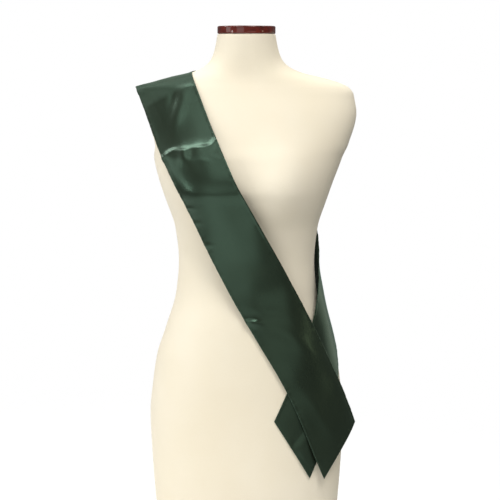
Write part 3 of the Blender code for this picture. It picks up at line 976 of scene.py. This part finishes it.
def rim(rounding, turns):
    """A rounded rim at each turn from flat to upright: the distances from its flat and its upright."""
    return [(rounding * (1 - math.cos(turn)), rounding * (1 - math.sin(turn))) for turn in turns]


def make_form_cover(name, finish):
    """The jersey-covered form: a sheet wrapped round ring by ring, closed at the neck and underneath."""
    low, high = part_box("form_torso")
    form = BustedLoft(FORM_RINGS)
    bottom = low[2] + RIM_ROUNDING
    top = high[2] - NECK_ROUNDING
    turns = [math.radians(turn) for turn in RIM_TURNS]
    # A ring's height, the height at which the form's outline is taken, and how far it is drawn in.
    rings = [(low[2] + rise, bottom, inset) for rise, inset in rim(RIM_ROUNDING, turns)]
    for height in np.linspace(bottom, top, round((top - bottom) / FORM_RING_SPACING) + 1):
        rings.append((height, height, 0.0))
    rings += [(high[2] - drop, top, inset) for drop, inset in reversed(rim(NECK_ROUNDING, turns))]
    columns = np.arange(FORM_SIDES + 1)
    angles = math.pi / 2 + 2 * math.pi * columns / FORM_SIDES
    shape = []
    for height, taken_at, inset in rings:
        x, y = form.ring(angles, taken_at)
        shrink = 1 - inset / np.hypot(x, y)
        x = x * shrink
        y = y * shrink
        shape.append(np.stack([x, y - form.bust(x, y, height), np.full(len(x), height)], axis=-1))
    heights = [ring[0] for ring in rings]
    flat = np.stack(np.meshgrid(columns / FORM_SIDES * GIRTH, heights), axis=-1)
    bm = wrapped_sheet(shape, "knit", flat)
    bmesh.ops.remove_doubles(bm, verts=bm.verts, dist=MERGE)
    bmesh.ops.holes_fill(bm, edges=[e for e in bm.edges if e.is_boundary], sides=0)
    bmesh.ops.recalc_face_normals(bm, faces=bm.faces)
    made = settle(bm, name, [finish])
    made.data.set_sharp_from_angle(angle=math.radians(COVER_SHARP))
    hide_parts("form_torso")
    return made


def turned_profile(radius, low, high, rounding):
    """Half the outline of a round plate with rounded rims, from its middle underneath to that on top."""
    turns = [math.pi / 2 * i / TURNED_STEPS for i in range(TURNED_STEPS + 1)]
    lower = [(radius - inset, low + rise) for rise, inset in rim(rounding, turns)]
    upper = [(radius - inset, high - drop) for inset, drop in rim(rounding, turns)]
    return [(0.0, low), *lower, *upper, (0.0, high)]


def turn_piece(name, node, rounding, sides, finish):
    """A piece turned on the lathe to the size of its CAD node."""
    low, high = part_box(node)
    bm = bmesh.new()
    radius = (high[0] - low[0]) / 2
    line = [bm.verts.new((x, 0, z)) for x, z in turned_profile(radius, low[2], high[2], rounding)]
    edges = [bm.edges.new(pair) for pair in zip(line, line[1:])]
    bmesh.ops.spin(
        bm, geom=line + edges, cent=(0, 0, 0), axis=(0, 0, 1), dvec=(0, 0, 0),
        angle=2 * math.pi, steps=sides, use_merge=True,
    )
    bmesh.ops.remove_doubles(bm, verts=bm.verts, dist=MERGE)
    bmesh.ops.recalc_face_normals(bm, faces=bm.faces)
    made = settle(bm, name, [finish])
    made.data.set_sharp_from_angle(angle=math.radians(TURNED_SHARP))
    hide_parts(node)
    return made


# ---------- settings


class SashSettings(bpy.types.PropertyGroup):
    """Sizes and colours of the sash."""

    width: FloatProperty(
        name="Width", description="Finished width of the sash", subtype="DISTANCE",
        default=0.1035, min=0.05,
    )
    cloth_thickness: FloatProperty(
        name="Cloth", description="Thickness of one layer of satin", default=0.0005, subtype="DISTANCE",
    )
    hem_thickness: FloatProperty(
        name="Hem thickness", description="Thickness of the cloth where it is turned under",
        subtype="DISTANCE", default=0.0011,
    )
    hem_width: FloatProperty(
        name="Hem", description="From the edge to the stitching", default=0.0031, subtype="DISTANCE",
    )
    stitch_length: FloatProperty(
        name="Stitch", description="Length of one stitch", default=0.0024, subtype="DISTANCE",
    )
    stitch_gap: FloatProperty(
        name="Gap", description="Gap between stitches", default=0.0007, subtype="DISTANCE",
    )
    thread_width: FloatProperty(
        name="Thread", description="Thickness of the sewing thread", default=0.0004, subtype="DISTANCE",
    )
    crease_share: FloatProperty(
        name="Creases", description="Depth of the creases, as a share of their usual depth",
        default=1.0, min=0.0, max=2.0,
    )
    colour: FloatVectorProperty(
        name="Satin", description="Colour of the dyed satin", subtype="COLOR",
        default=(0.0125, 0.0160, 0.0095),
    )
    sheen_colour: FloatVectorProperty(
        name="Sheen", description="Tint of the light on the satin's folds", subtype="COLOR",
        default=(0.56, 1.0, 0.74),
    )
    thread_colour: FloatVectorProperty(
        name="Thread colour", description="Colour of the thread", subtype="COLOR",
        default=(0.030, 0.055, 0.038),
    )


class FormSettings(bpy.types.PropertyGroup):
    """Colours of the dress form and of its stand, and the rounding of the turned pieces."""

    cover_colour: FloatVectorProperty(
        name="Cover", description="Colour of the knitted cover", subtype="COLOR",
        default=(0.87, 0.81, 0.67),
    )
    cover_shadow: FloatVectorProperty(
        name="Cover, duller", description="Colour of the cover's duller patches", subtype="COLOR",
        default=(0.83, 0.755, 0.59),
    )
    wood_dark: FloatVectorProperty(
        name="Wood grain", description="Colour of the dark grain", subtype="COLOR",
        default=(0.045, 0.005, 0.0025),
    )
    wood_light: FloatVectorProperty(
        name="Wood", description="Colour between the grain", subtype="COLOR",
        default=(0.150, 0.015, 0.007),
    )
    steel_colour: FloatVectorProperty(
        name="Post", description="Colour of the steel post", subtype="COLOR", default=(0.62, 0.62, 0.60),
    )
    cap_rounding: FloatProperty(
        name="Cap edge", description="Rounding of the neck cap's edges", default=0.0022, subtype="DISTANCE",
    )
    base_rounding: FloatProperty(
        name="Base edge", description="Rounding of the base's edges", default=0.004, subtype="DISTANCE",
    )


class StageSettings(bpy.types.PropertyGroup):
    """The small studio round the form."""

    camera_turn: FloatProperty(
        name="Turn", description="How far the camera stands to the form's left", subtype="ANGLE",
        default=math.radians(5.5),
    )
    camera_tilt: FloatProperty(
        name="Tilt", description="How far the camera looks down", subtype="ANGLE",
        default=math.radians(6.0),
    )
    floor_colour: FloatVectorProperty(
        name="Floor", description="Colour of the floor", subtype="COLOR", default=(0.86, 0.86, 0.86),
    )
    light_share: FloatProperty(
        name="Light", description="Strength of all the softboxes together", default=1.0, min=0.0,
    )


# ---------- operators


class SASH_OT_lay_cloth(bpy.types.Operator):
    """Lay the front and the back strip of the sash and sew their hems"""

    bl_idname = "sash.lay_cloth"
    bl_label = "Lay Sash"

    def execute(self, context):
        settings = context.scene.sash
        colours = (settings.colour, settings.sheen_colour)
        outside = satin("green_satin", *colours, roughness=0.28, glossy=0.62)
        inside = satin("green_satin_reverse", *colours, roughness=0.62, glossy=0.35)
        sewing = thread("green_thread", settings.thread_colour)
        strips = (("front", FRONT_STRIP, FRONT_CREASES), ("back", BACK_STRIP, BACK_CREASES))
        for side, strip, creases in strips:
            laid = LaidStrip(strip, creases, settings)
            cloth = make_cloth(f"sash_{side}_cloth", laid, [outside, inside], settings)
            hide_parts(f"sash_{side}")
            stitches = [sew_hem(f"sash_{side}_stitches", laid, settings, sewing)]
            if side == "front":
                stitches.append(sew_seam("sash_shoulder_seam", laid, settings, sewing))
            settings.width * (strip.inner + strip.outer) / 2
        return {"FINISHED"}


class SASH_OT_cover_form(bpy.types.Operator):
    """Build the dress form with its knitted cover"""

    bl_idname = "sash.cover_form"
    bl_label = "Cover Form"

    def execute(self, context):
        settings = context.scene.sash_form
        cream = jersey("cream_jersey", settings.cover_colour, settings.cover_shadow)
        make_form_cover("form_cover", cream)
        return {"FINISHED"}


class SASH_OT_turn_stand(bpy.types.Operator):
    """Turn the neck cap, the post and the base"""

    bl_idname = "sash.turn_stand"
    bl_label = "Turn Stand"

    def execute(self, context):
        settings = context.scene.sash_form
        wood = lacquered_wood("mahogany", settings.wood_dark, settings.wood_light)
        steel = satin_steel("post_steel", settings.steel_colour)
        turn_piece("cap_disc", "neck_cap", settings.cap_rounding, CAP_SIDES, wood)
        turn_piece("base_disc", "stand_base", settings.base_rounding, BASE_SIDES, wood)
        turn_piece("post_tube", "stand_post", POST_ROUNDING, POST_SIDES, steel)
        return {"FINISHED"}


class SASH_OT_set_stage(bpy.types.Operator):
    """Set the floor, the light and the camera"""

    bl_idname = "sash.set_stage"
    bl_label = "Set Stage"

    def execute(self, context):
        settings = context.scene.sash_stage
        self.floor(context, settings)
        self.world(context)
        for box in SOFTBOXES:
            self.softbox(context, box, settings)
        self.camera(context, settings)
        context.scene.view_settings.view_transform = "Standard"
        return {"FINISHED"}

    def floor(self, context, settings):
        bm = bmesh.new()
        bmesh.ops.create_circle(bm, cap_ends=True, segments=FLOOR_SIDES, radius=FLOOR_RADIUS)
        mesh = bpy.data.meshes.new("floor")
        bm.to_mesh(mesh)
        bm.free()
        mesh.materials.append(floor_finish("pale_floor", settings.floor_colour))
        floor = bpy.data.objects.new("floor", mesh)
        context.scene.collection.objects.link(floor)

    def world(self, context):
        """White to look at, and a dimmer grey as light."""
        world = bpy.data.worlds.new("studio")
        world.use_nodes = True
        context.scene.world = world
        nodes = world.node_tree.nodes
        links = world.node_tree.links
        seen = nodes.new("ShaderNodeLightPath")
        strength = nodes.new("ShaderNodeMapRange")
        strength.inputs["To Min"].default_value = WORLD_LIGHT
        strength.inputs["To Max"].default_value = WORLD_WHITE
        links.new(seen.outputs["Is Camera Ray"], strength.inputs["Value"])
        links.new(strength.outputs["Result"], nodes["Background"].inputs["Strength"])
        nodes["Background"].inputs["Color"].default_value = (1, 1, 1, 1)

    def softbox(self, context, box, settings):
        light = bpy.data.lights.new(box.name, "AREA")
        light.shape = "RECTANGLE"
        light.size = box.width
        light.size_y = box.height
        light.energy = box.watts * settings.light_share
        light.color = box.colour
        made = bpy.data.objects.new(box.name, light)
        around = math.radians(box.azimuth) + settings.camera_turn
        up = math.radians(box.elevation)
        level = math.cos(up)
        toward = Vector((math.sin(around) * level, -math.cos(around) * level, math.sin(up)))
        made.location = Vector(LIGHT_TARGET) + toward * box.distance
        made.rotation_euler = toward.to_track_quat("Z", "Y").to_euler()
        made.visible_camera = False
        context.scene.collection.objects.link(made)

    def camera(self, context, settings):
        camera = bpy.data.cameras.new("camera")
        camera.sensor_width = SENSOR
        camera.lens = FOCAL_PIXELS / PICTURE * SENSOR
        made = bpy.data.objects.new("camera", camera)
        turn = settings.camera_turn
        aside = Vector((math.cos(turn), math.sin(turn), 0)) * CAMERA_ASIDE
        back = Vector((math.sin(turn), -math.cos(turn), 0)) * CAMERA_BACK
        made.location = back + aside + Vector((0, 0, CAMERA_HEIGHT))
        made.rotation_euler = (math.pi / 2 - settings.camera_tilt, 0, turn)
        context.scene.collection.objects.link(made)
        context.scene.camera = made


class SASH_PT_panel(bpy.types.Panel):
    """Everything that builds the sash, its form and the studio"""

    bl_idname = "SASH_PT_panel"
    bl_label = "Satin Sash"
    bl_space_type = "VIEW_3D"
    bl_region_type = "UI"
    bl_category = "Sash"

    def draw(self, context):
        for group, steps in STEPS:
            box = self.layout.box()
            settings = getattr(context.scene, group)
            for name in settings.__annotations__:
                box.prop(settings, name)
            for step in steps:
                box.operator(step.bl_idname)


STEPS = (
    ("sash_form", (SASH_OT_cover_form, SASH_OT_turn_stand)),
    ("sash", (SASH_OT_lay_cloth,)),
    ("sash_stage", (SASH_OT_set_stage,)),
)
GROUPS = {"sash": SashSettings, "sash_form": FormSettings, "sash_stage": StageSettings}
CLASSES = (
    *GROUPS.values(),
    SASH_OT_lay_cloth,
    SASH_OT_cover_form,
    SASH_OT_turn_stand,
    SASH_OT_set_stage,
    SASH_PT_panel,
)


def register():
    for cls in CLASSES:
        bpy.utils.register_class(cls)
    for name, group in GROUPS.items():
        setattr(bpy.types.Scene, name, PointerProperty(type=group))


def unregister():
    for name in GROUPS:
        delattr(bpy.types.Scene, name)
    for cls in reversed(CLASSES):
        bpy.utils.unregister_class(cls)


def main():
    register()
    bpy.ops.sash.cover_form()
    bpy.ops.sash.turn_stand()
    bpy.ops.sash.lay_cloth()
    bpy.ops.sash.set_stage()


if __name__ == "__main__":
    main()
